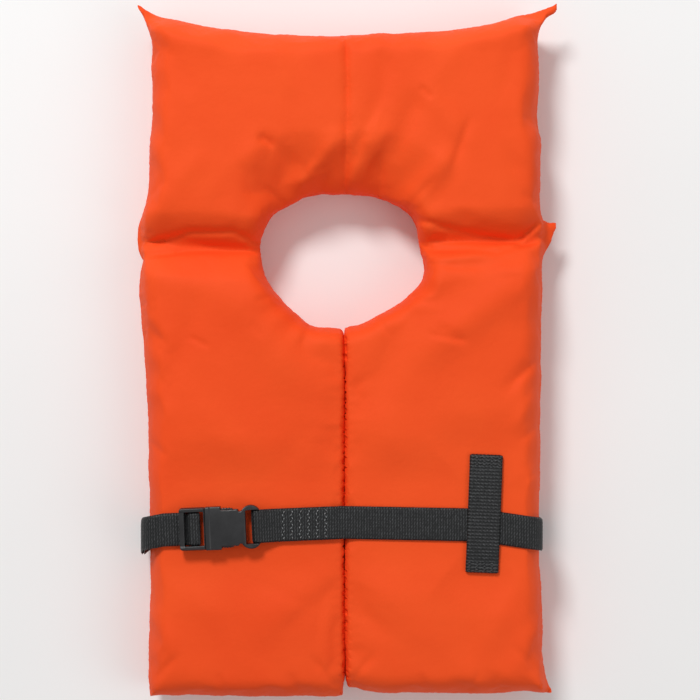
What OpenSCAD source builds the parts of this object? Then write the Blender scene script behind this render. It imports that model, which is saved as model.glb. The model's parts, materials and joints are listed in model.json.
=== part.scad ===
// Keyhole life jacket, lying on its back: X across, Y up towards the collar, Z out of the front.
// Left and right are the left and right of someone who looks at the front of the jacket.

/* [Jacket] */
// Half of the width across the side seams
half_w = 152.5; // [150:0.5:154]
// Half of the full height, hem to the tips of the collar corners
half_h = 267; // [265:0.5:269]
// Height of the filled part, without the belt
pad_t = 60; // [60:0.1:60.4]
// Thickness of the coated nylon cover with its seam allowance
wall = 1; // [0.9:0.1:1]
// Height of the collar's top edge above the middle of the jacket
collar_y = 245; // [243:1:247]
// How far the sewn corners of the collar stand out past the side seams
corner_out = 10.5; // [9:0.5:11]

/* [Neck opening] */
// Half of the opening's width
neck_rx = 63.5; // [60:0.5:66]
// Half of the opening's height
neck_ry = 51.5; // [49:0.5:53]
// Height of the opening's centre
neck_y = 68; // [66:1:70]

/* [Shoulder fold] */
// Height of the crease between collar and front panels
fold_y = 80; // [79:0.5:81]
// Height of the crease above the ground, where the two covers are stitched down
fold_z = 28; // [28:0.1:28.4]
// Slope of each side of the crease, as inset per height
fold_slope = 0.64; // [0.62:0.01:0.66]

/* [Foam] */
// Thickness of one ply of closed-cell foam
ply_t = 19; // [18.8:0.1:19]

/* [Webbing belt] */
// Width of the webbing
web_w = 25.4; // [25:0.1:25.4]
// Thickness of the webbing
web_t = 1.6; // [1.4:0.1:1.6]
// Gap between layers of webbing
web_gap = 0.3; // [0.2:0.1:0.3]
// Height of the belt's rear run
rear_y = -145; // [-146:0.5:-144]
// How much belt is folded back on the rear run
tail_back = 170; // [120:10:200]

/* [Keeper tab] */
// Length of the keeper that holds the belt to the right panel
keeper_len = 92; // [90:1:94]
// Its centre across the jacket
keeper_x = 108.5; // [107:0.5:110]
// Its centre along the jacket
keeper_y = -126; // [-127:0.5:-125]

/* [Buckle] */
// Length of the closed side-release buckle
buckle_len = 63; // [62:0.5:63]
// Width of the buckle
buckle_w = 33; // [33:0.1:34]
// Angle of the buckle to the hem
buckle_tilt = 2.4; // [2:0.1:2.8]
// Centre of the buckle across the jacket
buckle_x = -94; // [-96:1:-92]

/* [Hidden] */
$fn = 48;

cover_orange = "#f2541f";
foam_white = "#ece6da";
web_black = "#1c1d1f";
thread_grey = "#55585c";
buckle_black = "#2c2d30";

seam_gap = 0.25;       // between the front and back covers at the rim
centre_gap = 0.05;     // between the two halves of the collar at the centre seam
hem_y = -half_h;
slit_x = 0.4;          // where each front panel ends beside the centre slit
fold_gap = 0.5;         // between panel and collar covers at the crease
corner_x = half_w + corner_out;
arc_steps = 10;

// A cover's rounding: how far it has pulled in at each height above or below its widest line.
rise_share = [0, 0.56, 0.81, 0.94, 1];
rise = rise_share * (pad_t - fold_z - seam_gap);
back_rise = [0, 14, 22, 26, 28] * fold_z / 28;
side_inset = [0, 1, 3.5, 8, 15];
crown_step = 5;        // the crease's last step in to the flat top
corner_share = [1, 0.25, 0, 0, 0];

function mix(a, b, t) = a + (b - a) * t;
function fold_inset(k, front) =
    front ? max(side_inset[k], rise[k] * fold_slope + (k == 4 ? crown_step : 0)) : side_inset[k];

// Points of the neck opening's edge between two angles.
function neck_arc(from, to) =
    [for (i = [0:arc_steps])
        let (a = mix(from, to, i / arc_steps))
        [neck_rx * cos(a), neck_y + neck_ry * sin(a)]];

function crease_angle(y) = asin((y - neck_y) / neck_ry);

// Right front panel, counterclockwise from the bottom of the slit. c is 1 at the sewn rim, where the
// corners stand out, and 0 higher up the pad.
function panel_outline(c) = concat(
    [
        [slit_x, hem_y],
        [half_w / 2, hem_y + 2 * (1 - c)],
        [half_w - 14, hem_y + 3 * (1 - c)],
        [half_w - 3 + 11 * c, hem_y + 6 * (1 - c)],
        [half_w, hem_y + 20],
        [half_w, -172],
        [half_w, -90],
        [half_w, 40],
        [half_w, fold_y - fold_gap]
    ],
    neck_arc(crease_angle(fold_y - fold_gap), -89.6)
);

// Right half of the collar, counterclockwise from the foot of the centre seam.
function collar_outline(c) = concat(
    [[0, neck_y + neck_ry]],
    [for (i = [1:arc_steps])
        let (a = mix(90, crease_angle(fold_y + fold_gap), i / arc_steps))
        [neck_rx * cos(a), neck_y + neck_ry * sin(a)]],
    [
        [half_w, fold_y + fold_gap],
        [half_w - 3, 150],
        [half_w - 4, collar_y - 22],
        [mix(half_w - 6, corner_x, c), mix(collar_y - 6, half_h, c)],
        [half_w - 26, collar_y + 1],
        [half_w / 2, collar_y - 1],
        [0, collar_y - 2]
    ]
);

function low(points) = [min([for (p = points) p.x]), min([for (p = points) p.y])];
function high(points) = [max([for (p = points) p.x]), max([for (p = points) p.y])];

// A ring pulls in on its four sides by inset = [left, right, bottom, top]. Points on the centre seam,
// at x = 0, go to seam_to instead.
function pulled(points, inset, seam_to = 0) =
    let (lo = low(points), hi = high(points))
    [for (p = points)
        let (u = (p.x - lo.x) / (hi.x - lo.x), v = (p.y - lo.y) / (hi.y - lo.y))
        [
            p.x == 0 ? seam_to : p.x + mix(inset[0], -inset[1], u * u),
            p.y + mix(inset[2], -inset[3], v)
        ]];

function at_height(points, z) = [for (p = points) [p.x, p.y, z]];

// A solid through rings of equally many points, each counterclockwise from above, from low to high.
module lofted(rings) {
    n = len(rings[0]);
    last = (len(rings) - 1) * n;
    polyhedron(
        points = [for (r = rings) for (p = r) p],
        faces = concat(
            [[for (i = [0:n - 1]) i]],
            [for (k = [0:len(rings) - 2]) for (i = [0:n - 1])
                let (a = k * n + i, b = k * n + (i + 1) % n)
                [a + n, b + n, b]],
            [for (k = [0:len(rings) - 2]) for (i = [0:n - 1])
                let (a = k * n + i, b = k * n + (i + 1) % n)
                [a + n, b, a]],
            [[for (i = [0:n - 1]) last + n - 1 - i]]
        ),
        convexity = 6
    );
}

// Rings of half a pad from its rim at z = 0 up. thin is how far this surface lies inside the outer one.
function pad_rings(outlines, rises, insets, thin) =
    [for (k = [0:len(rises) - 1])
        at_height(
            pulled(outlines[thin > 0 ? 2 : k], insets[k]),
            k == 0 ? 0 : rises[k] - thin
        )];

// Half a cover as one thin shell between two stacks of rings. Where seam is true the shell is open
// on its side from each ring's last point to its first, and its cut edge there is flat.
module shell(outer, inner, seam) {
    n = len(outer[0]);
    m = len(outer);
    sides = seam ? n - 2 : n - 1;
    function o(k, i) = k * n + i % n;
    function d(k, i) = (m + k) * n + i % n;
    edge = concat(
        [for (k = [0:m - 1]) o(k, 0)],
        [for (k = [m - 1:-1:0]) o(k, n - 1)],
        [for (k = [0:m - 1]) d(k, n - 1)],
        [for (k = [m - 1:-1:0]) d(k, 0)]
    );
    polyhedron(
        points = [for (r = concat(outer, inner)) for (p = r) p],
        faces = concat(
            [for (k = [0:m - 2]) for (i = [0:sides]) [o(k + 1, i), o(k + 1, i + 1), o(k, i + 1)]],
            [for (k = [0:m - 2]) for (i = [0:sides]) [o(k + 1, i), o(k, i + 1), o(k, i)]],
            [for (k = [0:m - 2]) for (i = [0:sides]) [d(k, i + 1), d(k + 1, i + 1), d(k + 1, i)]],
            [for (k = [0:m - 2]) for (i = [0:sides]) [d(k, i), d(k, i + 1), d(k + 1, i)]],
            [for (i = [0:sides]) [o(0, i), o(0, i + 1), d(0, i + 1)]],
            [for (i = [0:sides]) [o(0, i), d(0, i + 1), d(0, i)]],
            [[for (i = [n - 1:-1:0]) o(m - 1, i)]],
            [[for (i = [0:n - 1]) d(m - 1, i)]],
            seam ? [edge] : []
        ),
        convexity = 6
    );
}

function panel_insets(front, thin) =
    [for (k = [0:4]) [
        side_inset[k] + thin, side_inset[k] + thin,
        side_inset[k] + thin, fold_inset(k, front) + thin
    ]];
function collar_insets(front, thin) =
    [for (k = [0:4]) [
        side_inset[k] + 1.5 * thin, side_inset[k] + thin,
        fold_inset(k, front) + thin, side_inset[k] + thin
    ]];

panel_outlines = [for (c = corner_share) panel_outline(c)];
collar_outlines = [for (c = corner_share) collar_outline(c)];

function panel_rings(front, thin) =
    pad_rings(panel_outlines, front ? rise : back_rise, panel_insets(front, thin), thin);

function collar_rings(front, thin) =
    pad_rings(collar_outlines, front ? rise : back_rise, collar_insets(front, thin), thin);

// The belt's rear run lies in this groove, which it presses into the soft back of the jacket.
groove_d = 6.2;
groove_lo = -169;
groove_hi = -113;
module groove(grow) {
    translate([-200, groove_lo - grow, -1])
        cube([400, groove_hi - groove_lo + 2 * grow, groove_d + grow + 1]);
}

module front_place() {
    translate([0, 0, fold_z + seam_gap])
        children();
}

module back_place() {
    translate([0, 0, fold_z])
        mirror([0, 0, 1])
            children();
}

module panel_front() {
    front_place()
        shell(panel_rings(true, 0), panel_rings(true, wall), false);
}

module panel_back() {
    difference() {
        back_place()
            lofted(panel_rings(false, 0));
        groove(0);
        difference() {
            back_place()
                lofted(concat([at_height(panel_rings(false, wall)[0], -1)], panel_rings(false, wall)));
            groove(wall);
        }
    }
}

module collar_front() {
    front_place()
        shell(collar_rings(true, 0), collar_rings(true, wall), true);
}

module collar_back() {
    back_place()
        shell(collar_rings(false, 0), collar_rings(false, wall), true);
}

module on_left() {
    mirror([1, 0, 0])
        children();
}

module panel_cover_front_left() {
    color(cover_orange)
        on_left()
            panel_front();
}

module panel_cover_front_right() {
    color(cover_orange)
        panel_front();
}

module panel_cover_back_left() {
    color(cover_orange)
        on_left()
            panel_back();
}

module panel_cover_back_right() {
    color(cover_orange)
        panel_back();
}

module collar_cover_front_left() {
    color(cover_orange)
        translate([-centre_gap, 0, 0])
            on_left()
                collar_front();
}

module collar_cover_front_right() {
    color(cover_orange)
        collar_front();
}

module collar_cover_back_left() {
    color(cover_orange)
        translate([-centre_gap, 0, 0])
            on_left()
                collar_back();
}

module collar_cover_back_right() {
    color(cover_orange)
        collar_back();
}

// Foam: three plies to a pad, the middle one widest. Ply 0 lies against the wearer.
ply_gap = 0.1;
foam_z = 1.3;
ply_side = [16.5, 4, 15.5];
ply_fold = [16.5, 11.5, 26.5];
ply_neck = [[0, 0], [10, 22], [34, 46]];   // how far the collar plies stop short of the neck, in X and Y

module foam_ply(outline, inset, ply) {
    translate([0, 0, foam_z + ply * (ply_t + ply_gap)])
        linear_extrude(ply_t)
            polygon(pulled(outline, inset, -0.1));
}

module panel_foam(ply) {
    s = ply_side[ply];
    difference() {
        foam_ply(panel_outline(0), [s, s, s, ply_fold[ply]], ply);
        if (ply == 0)
            groove(wall + 0.5);
    }
}

// The collar's outer plies are cut back, so that its front slopes down to the neck.
module neck_room(clear) {
    translate([0, neck_y, 0])
        linear_extrude(pad_t)
            polygon([for (a = [0:6:354])
                [(neck_rx + clear.x) * cos(a), (neck_ry + clear.y) * sin(a)]]);
}

module collar_foam(ply) {
    s = ply_side[ply];
    color(foam_white)
        difference() {
            union() {
                foam_ply(collar_outline(0), [s, s, ply_fold[ply], s], ply);
                on_left()
                    foam_ply(collar_outline(0), [s, s, ply_fold[ply], s], ply);
            }
            if (ply > 0)
                neck_room(ply_neck[ply]);
        }
}

module right_panel_foam(ply) {
    color(foam_white)
        panel_foam(ply);
}

module left_panel_foam(ply) {
    color(foam_white)
        on_left()
            panel_foam(ply);
}

// Belt. Every route is a list of [x, y, z] down the middle of the webbing.
deck_z = pad_t + seam_gap + 0.3;               // underside of the webbing on the front
layer = web_t + web_gap;
web_z = deck_z + web_t / 2;
side_x = half_w + 0.6 + web_t / 2;
rear_z = groove_d - web_gap - web_t / 2;
front_r = 13;
rear_r = 4;
keeper_left_x = 92;

// The front run drops a little towards both side seams.
function belt_y(x) = -132.6 + (x < 0 ? 0.042 * x : 0) - (x > 90 ? 0.15 * (x - 90) : 0);

// A quarter turn of route in the plane of X and Z.
function turn(cx, cz, r, from, to, y0, y1, steps) =
    [for (i = [0:steps])
        let (a = mix(from, to, i / steps))
        [cx + r * cos(a), mix(y0, y1, i / steps), cz + r * sin(a)]];

// The loop outside the jacket, n layers out, from the left of the front, down the left side, along
// the rear to end_x.
function around_left(n, start_x, start_z, end_x) =
    let (
        out = n * layer,
        rt = front_r + out,
        rb = rear_r + out,
        edge = side_x + out,
        top = web_z + out,
        foot = rear_z - out,
        y_top = belt_y(-half_w),
        y_low = rear_y + 1
    )
    concat(
        [[start_x, belt_y(start_x), start_z]],
        [[-edge + rt + 2, belt_y(-edge + rt), top]],
        turn(-edge + rt, top - rt, rt, 90, 180, y_top, y_top - 1, 6),
        turn(-edge + rb, foot + rb, rb, 180, 270, y_low, rear_y, 5),
        [[end_x, rear_y, foot]]
    );

loop_route = concat(
    [[buckle_x - 13.9, belt_y(buckle_x - 13.9), deck_z + 6.6]],
    [[buckle_x - 14.6, belt_y(buckle_x - 14.6), deck_z + 2.2]],
    [[buckle_x - 17, belt_y(buckle_x - 17), web_z]],
    around_left(0, buckle_x - 20, web_z, half_w - 6),
    turn(side_x - rear_r, rear_z + rear_r, rear_r, 270, 360, rear_y, rear_y + 1, 5),
    turn(side_x - front_r, web_z - front_r, front_r, 0, 90,
         belt_y(half_w) - 1, belt_y(side_x - front_r), 6),
    [[keeper_left_x, belt_y(keeper_left_x), web_z]]
);

bar_top_z = deck_z + 7;
tail_end_x = half_w - 42;
tail_foot = rear_z - 2 * layer;
tail_route = concat(
    [[buckle_x - 14.6, belt_y(buckle_x - 14.6), bar_top_z + 0.4]],
    [[buckle_x - 16.5, belt_y(buckle_x - 16.5), bar_top_z + 0.9]],
    [[buckle_x - 23.5, belt_y(buckle_x - 23.5), bar_top_z + 0.9]],
    [[buckle_x - 24.7, belt_y(buckle_x - 24.7), bar_top_z - 1.1]],
    [[buckle_x - 26.2, belt_y(buckle_x - 26.2), web_z + layer + 0.5]],
    around_left(1, buckle_x - 30, web_z + layer, tail_end_x),
    turn(tail_end_x, rear_z - 1.5 * layer, layer / 2, 90, -90, rear_y, rear_y, 6),
    [[tail_end_x - tail_back, rear_y, tail_foot]]
);

// The front run: sewn end under, round the female part's bar, and right to the keeper.
bar_u = 27.6;
bar_w = 5;
bar_r = 2.2;
bar_x = buckle_x + bar_u;
bar_z = deck_z + bar_w;
wrap_r = bar_r + 0.25 + web_t / 2;
sewn_x = -8;
front_route = concat(
    [[sewn_x, belt_y(sewn_x), web_z]],
    [[bar_x + 8, belt_y(bar_x + 8), web_z]],
    turn(bar_x, bar_z, wrap_r, 290, 70, belt_y(bar_x), belt_y(bar_x), 9),
    [[bar_x + 14, belt_y(bar_x + 14), web_z + layer + 0.6]],
    [[bar_x + 18, belt_y(bar_x + 18), web_z + layer]],
    [[sewn_x, belt_y(sewn_x), web_z + layer]],
    [[sewn_x + 7, belt_y(sewn_x + 7), web_z]],
    [[keeper_left_x - 0.3, belt_y(keeper_left_x), web_z]]
);

// The webbing leans with the buckle where it runs through it, and lies square to X elsewhere.
function lean(x) = x > -135 && x < -10 ? buckle_tilt : 0;

// Flat webbing along a route, with its width near Y.
module webbing(route) {
    n = len(route);
    function away(i) =
        let (
            a = route[max(0, i - 1)],
            b = route[min(n - 1, i + 1)],
            d = [b.x - a.x, 0, b.z - a.z]
        )
        [-d.z, 0, d.x] / norm(d);
    rings = [for (i = [0:n - 1])
        let (
            p = route[i],
            up = away(i) * web_t / 2,
            side = [-sin(lean(p.x)), cos(lean(p.x)), 0] * web_w / 2
        )
        [p - up - side, p - up + side, p + up + side, p + up - side]];
    polyhedron(
        points = [for (r = rings) for (p = r) p],
        faces = concat(
            [[3, 2, 1, 0]],
            [for (k = [0:n - 2]) for (i = [0:3])
                let (a = 4 * k + i, b = 4 * k + (i + 1) % 4)
                [a, b, b + 4]],
            [for (k = [0:n - 2]) for (i = [0:3])
                let (a = 4 * k + i, b = 4 * k + (i + 1) % 4)
                [a, b + 4, a + 4]],
            [[for (i = [0:3]) 4 * (n - 1) + i]]
        ),
        convexity = 8
    );
}

module belt_webbing() {
    color(web_black)
        webbing(loop_route);
}

module belt_front_run() {
    color(web_black)
        webbing(front_route);
}

module belt_tail() {
    color(web_black)
        webbing(tail_route);
}

// One row of raised thread, stitch by stitch.
stitch_l = 2.2;
stitch_d = 0.5;
module stitches(length, pitch) {
    for (s = [0:pitch:length - stitch_l])
        translate([0, s, 0])
            cube([stitch_d, stitch_l, stitch_d]);
}

// Rows across the belt that hold its end back on itself.
stitch_rows = [-46, -39.5, -33, -26.5, -20, -13.5];
module belt_box_stitch() {
    color(thread_grey)
        for (x = stitch_rows)
            translate([x, belt_y(x) - 10, web_z + layer + web_t / 2])
                stitches(20, 3.6);
}

// Keeper: a strip of the same webbing, hemmed and tacked down at both ends, with the belt below it.
hem_l = 9;
hump_l = 7;
hump_z = web_t + 0.7;
module keeper_place() {
    translate([keeper_x, keeper_y, pad_t + seam_gap])
        rotate([0, 0, -buckle_tilt + 0.2])
            children();
}

module keeper_profile() {
    e = keeper_len / 2;
    flat = e - hem_l;
    top = flat - hump_l;
    polygon([
        [-e, 0], [-flat, 0], [-top, hump_z], [top, hump_z], [flat, 0], [e, 0],
        [e, 2 * web_t], [flat - 1, 2 * web_t], [top, hump_z + web_t],
        [-top, hump_z + web_t], [-flat + 1, 2 * web_t], [-e, 2 * web_t]
    ]);
}

module keeper_tab() {
    color(web_black)
        keeper_place()
            rotate([90, 0, 90])
                translate([0, 0, -web_w / 2])
                    linear_extrude(web_w)
                        keeper_profile();
}

module keeper_tacks() {
    color(thread_grey)
        keeper_place()
            for (end = [-1, 1], row = [3, 6])
                translate([10, end * (keeper_len / 2 - row), 2 * web_t])
                    rotate([0, 0, 90])
                        stitches(20, 2.9);
}

// Buckle, in a frame of its own: u along the belt to the right, v across it, w up from the webbing.
rail_in = 13.1;
rail_out = buckle_w / 2;
male_end = -buckle_len / 2;
mouth_u = -11.5;
arm_v = 10.9;
arm_root_u = -8.6;
arm_lo = 4;
arm_h = 4.2;
barrel_r = 1.8;
barrel_gap = 0.06;
frame_lo = 2.6;        // underside and top of the male part's rails
frame_hi = 9.6;
end_lo = 4.4;          // underside of its end bar, which clears the belt's two layers
frame_r = 2.2;         // its rounded corners
adjuster_u = -20.6;    // the bar that the free end of the belt goes over
adjuster_v = 14;
plate_v = 12.9;
prong_v = 2.4;
head_u = 0.6;
head_end = 12.4;
head_v = 15.2;

module buckle_place() {
    translate([buckle_x, belt_y(buckle_x), deck_z])
        rotate([0, 0, buckle_tilt])
            children();
}

module block(u0, u1, v0, v1, w0, w1) {
    translate([u0, v0, w0])
        cube([u1 - u0, v1 - v0, w1 - w0]);
}

module rail(side) {
    mirror([0, side < 0 ? 1 : 0, 0]) {
        block(male_end + frame_r, mouth_u - 0.3, rail_in, rail_out, frame_lo, frame_hi);
        translate([male_end + frame_r, rail_out - frame_r, end_lo])
            cylinder(h = frame_hi - end_lo, r = frame_r);
    }
}

module arm_sockets() {
    for (side = [-1, 1])
        translate([arm_root_u, side * arm_v, arm_lo - 0.3])
            cylinder(h = arm_h + 0.6, r = barrel_r + barrel_gap);
}

module adjuster_bar() {
    translate([adjuster_u, adjuster_v, 4.6])
        rotate([90, 0, 0])
            cylinder(h = 2 * adjuster_v, r = 1.7);
    block(adjuster_u - 2, adjuster_u + 2, -adjuster_v, adjuster_v, 2.9, 6.3);
}

module buckle_male() {
    color(buckle_black)
        buckle_place() {
            difference() {
                union() {
                    rail(1);
                    rail(-1);
                    block(male_end, male_end + 3.7, frame_r - rail_out, rail_out - frame_r,
                          end_lo, frame_hi);
                    adjuster_bar();
                    block(mouth_u - 1.4, mouth_u - 0.3, -rail_out, rail_out, frame_lo, frame_hi);
                    block(mouth_u - 0.4, arm_root_u + 2.2, -plate_v, plate_v,
                          arm_lo - 0.6, arm_lo + arm_h + 0.6);
                    block(arm_root_u + 1.6, 10, -prong_v, prong_v, arm_lo, arm_lo + arm_h);
                    translate([10, 0, arm_lo])
                        cylinder(h = arm_h, r = prong_v);
                }
                arm_sockets();
                for (side = [-1, 1])
                    block(arm_root_u, -6, side * arm_v - 2.3, side * arm_v + 2.3,
                          arm_lo - 1, arm_lo + arm_h + 1);
            }
        }
}

// One latch arm. It flexes about its root in the real moulding, and turns about it here.
module latch_arm() {
    translate([0, 0, arm_lo]) {
        translate([arm_root_u, arm_v, 0])
            cylinder(h = arm_h, r = barrel_r);
        linear_extrude(arm_h)
            polygon([
                [arm_root_u, arm_v - 1.1], [head_end - 2, arm_v - 1.6], [head_end, arm_v],
                [head_end, head_v - 3], [head_end - 3, head_v - 0.4], [8, head_v],
                [head_u, head_v], [head_u, arm_v + 1.1], [arm_root_u, arm_v + 1.1]
            ]);
    }
}

module buckle_arm_upper() {
    color(buckle_black)
        buckle_place()
            latch_arm();
}

module buckle_arm_lower() {
    color(buckle_black)
        buckle_place()
            mirror([0, 1, 0])
                latch_arm();
}

female_lo = 0.7;
female_hi = 11.2;
waist_u = 14;          // where the thumb notches end
waist_v = 13.9;
room_lo = 3.1;         // underside and top of the room inside
room_hi = 8.8;
slot_u = 19.4;
slot_v = 12.95;
lug_u = 23.4;
lug_v = 8.7;
lug_r = 8;
module female_outline() {
    translate([mouth_u, -rail_out])
        square([12, 2 * rail_out]);
    translate([0, -waist_v])
        square([waist_u, 2 * waist_v]);
    translate([waist_u - 1, -waist_v + 1.5])
        square([8, 2 * waist_v - 3]);
    for (side = [-1, 1])
        translate([lug_u, side * lug_v])
            circle(r = lug_r);
    translate([lug_u, -lug_v])
        square([5, 2 * lug_v]);
}

module buckle_female() {
    color(buckle_black)
        buckle_place()
            difference() {
                translate([0, 0, female_lo])
                    linear_extrude(female_hi - female_lo)
                        female_outline();
                // room for the prong, the arms and the thumbs
                block(mouth_u - 1, 13, -13.2, 13.2, room_lo, room_hi);
                block(0.1, 13.3, -20, 20, room_lo, room_hi);
                // slot, and the room where the webbing turns round the bar
                block(slot_u, 40, -slot_v, slot_v, -1, 20);
            }
    color(buckle_black)
        buckle_place()
            translate([bar_u, 13.4, bar_w])
                rotate([90, 0, 0])
                    cylinder(h = 26.8, r = bar_r);
}

module left_foam_inner() { left_panel_foam(0); }
module left_foam_middle() { left_panel_foam(1); }
module left_foam_outer() { left_panel_foam(2); }
module right_foam_inner() { right_panel_foam(0); }
module right_foam_middle() { right_panel_foam(1); }
module right_foam_outer() { right_panel_foam(2); }
module collar_foam_inner() { collar_foam(0); }
module collar_foam_middle() { collar_foam(1); }
module collar_foam_outer() { collar_foam(2); }

panel_cover_front_left();
panel_cover_front_right();
panel_cover_back_left();
panel_cover_back_right();
collar_cover_front_left();
collar_cover_front_right();
collar_cover_back_left();
collar_cover_back_right();
left_foam_inner();
left_foam_middle();
left_foam_outer();
right_foam_inner();
right_foam_middle();
right_foam_outer();
collar_foam_inner();
collar_foam_middle();
collar_foam_outer();
belt_webbing();
belt_front_run();
belt_tail();
belt_box_stitch();
keeper_tab();
keeper_tacks();
buckle_male();
buckle_arm_upper();
buckle_arm_lower();
buckle_female();
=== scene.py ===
"""A keyhole life jacket lying on its back: foam-filled nylon covers, webbing belt, keeper and buckle."""

import json
import math

import bmesh
import bpy
import numpy as np
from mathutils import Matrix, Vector
from mathutils.geometry import delaunay_2d_cdt


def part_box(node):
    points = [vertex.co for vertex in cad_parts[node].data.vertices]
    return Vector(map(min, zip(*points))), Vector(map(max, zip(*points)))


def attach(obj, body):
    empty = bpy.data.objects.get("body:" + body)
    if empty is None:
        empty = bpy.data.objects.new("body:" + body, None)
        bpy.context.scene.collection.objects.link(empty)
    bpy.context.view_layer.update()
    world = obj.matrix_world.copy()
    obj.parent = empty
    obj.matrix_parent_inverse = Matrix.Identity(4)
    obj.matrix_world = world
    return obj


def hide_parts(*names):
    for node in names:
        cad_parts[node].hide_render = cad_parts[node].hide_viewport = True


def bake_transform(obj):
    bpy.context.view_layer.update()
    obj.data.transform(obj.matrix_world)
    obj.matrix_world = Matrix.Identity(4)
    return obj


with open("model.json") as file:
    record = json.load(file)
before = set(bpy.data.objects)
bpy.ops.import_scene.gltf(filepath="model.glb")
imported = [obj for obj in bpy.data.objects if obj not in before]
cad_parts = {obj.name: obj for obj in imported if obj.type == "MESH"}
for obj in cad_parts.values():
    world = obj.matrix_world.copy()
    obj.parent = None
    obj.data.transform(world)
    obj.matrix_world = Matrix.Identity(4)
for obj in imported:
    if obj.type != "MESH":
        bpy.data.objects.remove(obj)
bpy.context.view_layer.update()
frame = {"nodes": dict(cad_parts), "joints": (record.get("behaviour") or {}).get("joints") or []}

MM = 0.001

# ---------------------------------------------------------------- the frame's places, in mm


def node_box(name):
    low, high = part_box(name)
    return [v / MM for v in low], [v / MM for v in high]


JOINTS = {j["name"]: j for j in frame["joints"]}
FOLD_Y, FOLD_Z = (v / MM for v in JOINTS["shoulder_fold"]["pos_m"][1:])
DECK = node_box("panel_cover_front_right")[1][2]     # the flat top of the CAD's front cover
KEEPER_LOW, KEEPER_HIGH = node_box("keeper_tab")
SOCKET_LOW = node_box("buckle_female")[0]

# Webbing, as in the CAD.
WEB_W, WEB_T, WEB_GAP = 25.4, 1.6, 0.3
LAYER = WEB_T + WEB_GAP
BUCKLE_TILT = math.radians(2.4)
BUCKLE_X = -94.0       # the buckle's middle
HALF_W = 152.5         # the panels' half width at the belt
REAR_Y = -145.0        # the middle of the belt's rear run
GROOVE = 6.2           # depth of the groove in the back that takes that run
SOCKET_LIFT = 0.7      # the buckle's underside over the webbing's
WEB_DECK = SOCKET_LOW[2] - SOCKET_LIFT
KEEPER_BASE = KEEPER_LOW[2]
WEB_Z = WEB_DECK + WEB_T / 2


def belt_y(x):
    """The belt's middle on the front: it drops a little towards both side seams."""
    return -132.6 + (0.042 * x if x < 0 else 0) - (0.15 * (x - 90) if x > 90 else 0)


# ---------------------------------------------------------------- curves


def smooth(points, step):
    """A Catmull-Rom curve through the points, resampled about step apart, with both ends kept."""
    p = np.array(points, float)
    if len(p) > 2:
        p = np.vstack([2 * p[0] - p[1], p, 2 * p[-1] - p[-2]])
        t = np.linspace(0, 1, 12, endpoint=False)[:, None]
        parts = []
        for a, b, c, d in zip(p, p[1:], p[2:], p[3:]):
            parts.append(0.5 * (2 * b + (c - a) * t + (2 * a - 5 * b + 4 * c - d) * t**2
                                + (3 * b - a - 3 * c + d) * t**3))
        p = np.vstack(parts + [p[-2:-1]])
    along = np.concatenate([[0], np.cumsum(np.linalg.norm(np.diff(p, axis=0), axis=1))])
    at = np.linspace(0, along[-1], max(2, round(along[-1] / step) + 1))
    return np.stack([np.interp(at, along, p[:, k]) for k in range(p.shape[1])], axis=1)


def to_line(points, line):
    """How far each point is from a polyline."""
    best = np.full(len(points), 1e9)
    for a, b in zip(line[:-1], line[1:]):
        d = b - a
        t = np.clip(((points - a) @ d) / max(d @ d, 1e-9), 0, 1)
        best = np.minimum(best, np.linalg.norm(points - a - t[:, None] * d, axis=1))
    return best


def ease(x):
    x = np.clip(x, 0, 1)
    return x * x * (3 - 2 * x)


# ---------------------------------------------------------------- the cover's pattern, in mm

EDGE_LEFT = [(-148.5, -266), (-150, -252), (-151, -236), (-149.5, -200), (-150, -155), (-152, -38),
             (-154, 0), (-157, 38), (-157, 60), (-154.5, 68), (-158, 76), (-158.5, 95), (-151, 118),
             (-150, 150), (-148, 185), (-147.5, 220), (-147.5, 238), (-153, 253), (-159, 266)]
TOP_LEFT = [(-159, 266), (-146, 259.5), (-131, 255), (-94, 248), (-60, 244.5), (-24, 242.5), (2, 242.5)]
TOP_RIGHT = [(2, 242.5), (46, 245), (86, 247), (112, 251.5), (130, 256), (147, 260.5), (167, 267)]
EDGE_RIGHT_UP = [(167, 267), (163.5, 259), (155, 253), (149.5, 240), (151.5, 222), (150.5, 195), (150, 178),
                 (153, 160), (152.5, 137), (152, 112), (154.5, 100), (166, 98)]
EDGE_RIGHT_LOW = [(166, 98), (161, 84), (154.5, 71), (153.5, 58), (153.5, 38), (152.8, -60),
                  (152.5, -155), (154, -205), (154, -232), (156, -250), (161, -264)]
HEM_RIGHT = [(161, -264), (146, -262.5), (120, -264), (60, -264.5), (22, -263), (10, -260), (3.4, -259)]
SLIT_RIGHT = [(3.4, -259), (3, -245), (1.5, -180), (1.4, -90), (1.7, -20), (2, 17.5)]
NECK_RIGHT = [(2, 17.5), (16, 21.5), (39, 35), (56.5, 48.5), (61.5, 57), (61.8, 68), (58.5, 80),
              (56.5, 91), (51.5, 104), (41, 112), (27, 117), (1, 119)]
NECK_LEFT = [(1, 119), (-25, 118.8), (-42, 111.5), (-55, 103), (-60.5, 93.5), (-64, 79), (-62, 63),
             (-55, 48), (-47, 39.5), (-38.5, 30), (-24, 19.5), (-1, 16.5)]
SLIT_LEFT = [(-1, 16.5), (0.9, -20), (0.7, -90), (0.8, -180), (0.4, -240), (-2.2, -266)]
HEM_LEFT = [(-2.4, -266), (-40, -267), (-90, -267), (-135, -265.5), (-148.5, -266)]
SEAM = [(2, 242.5), (3, 200), (2.2, 160), (1, 119)]

GROWTH = 1.015     # the filled covers swell a little past the CAD's outline
STEP = 4.2         # spacing of the cloth's points
WAVER = 0.35       # how far the sewn edges wander, in mm


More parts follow.
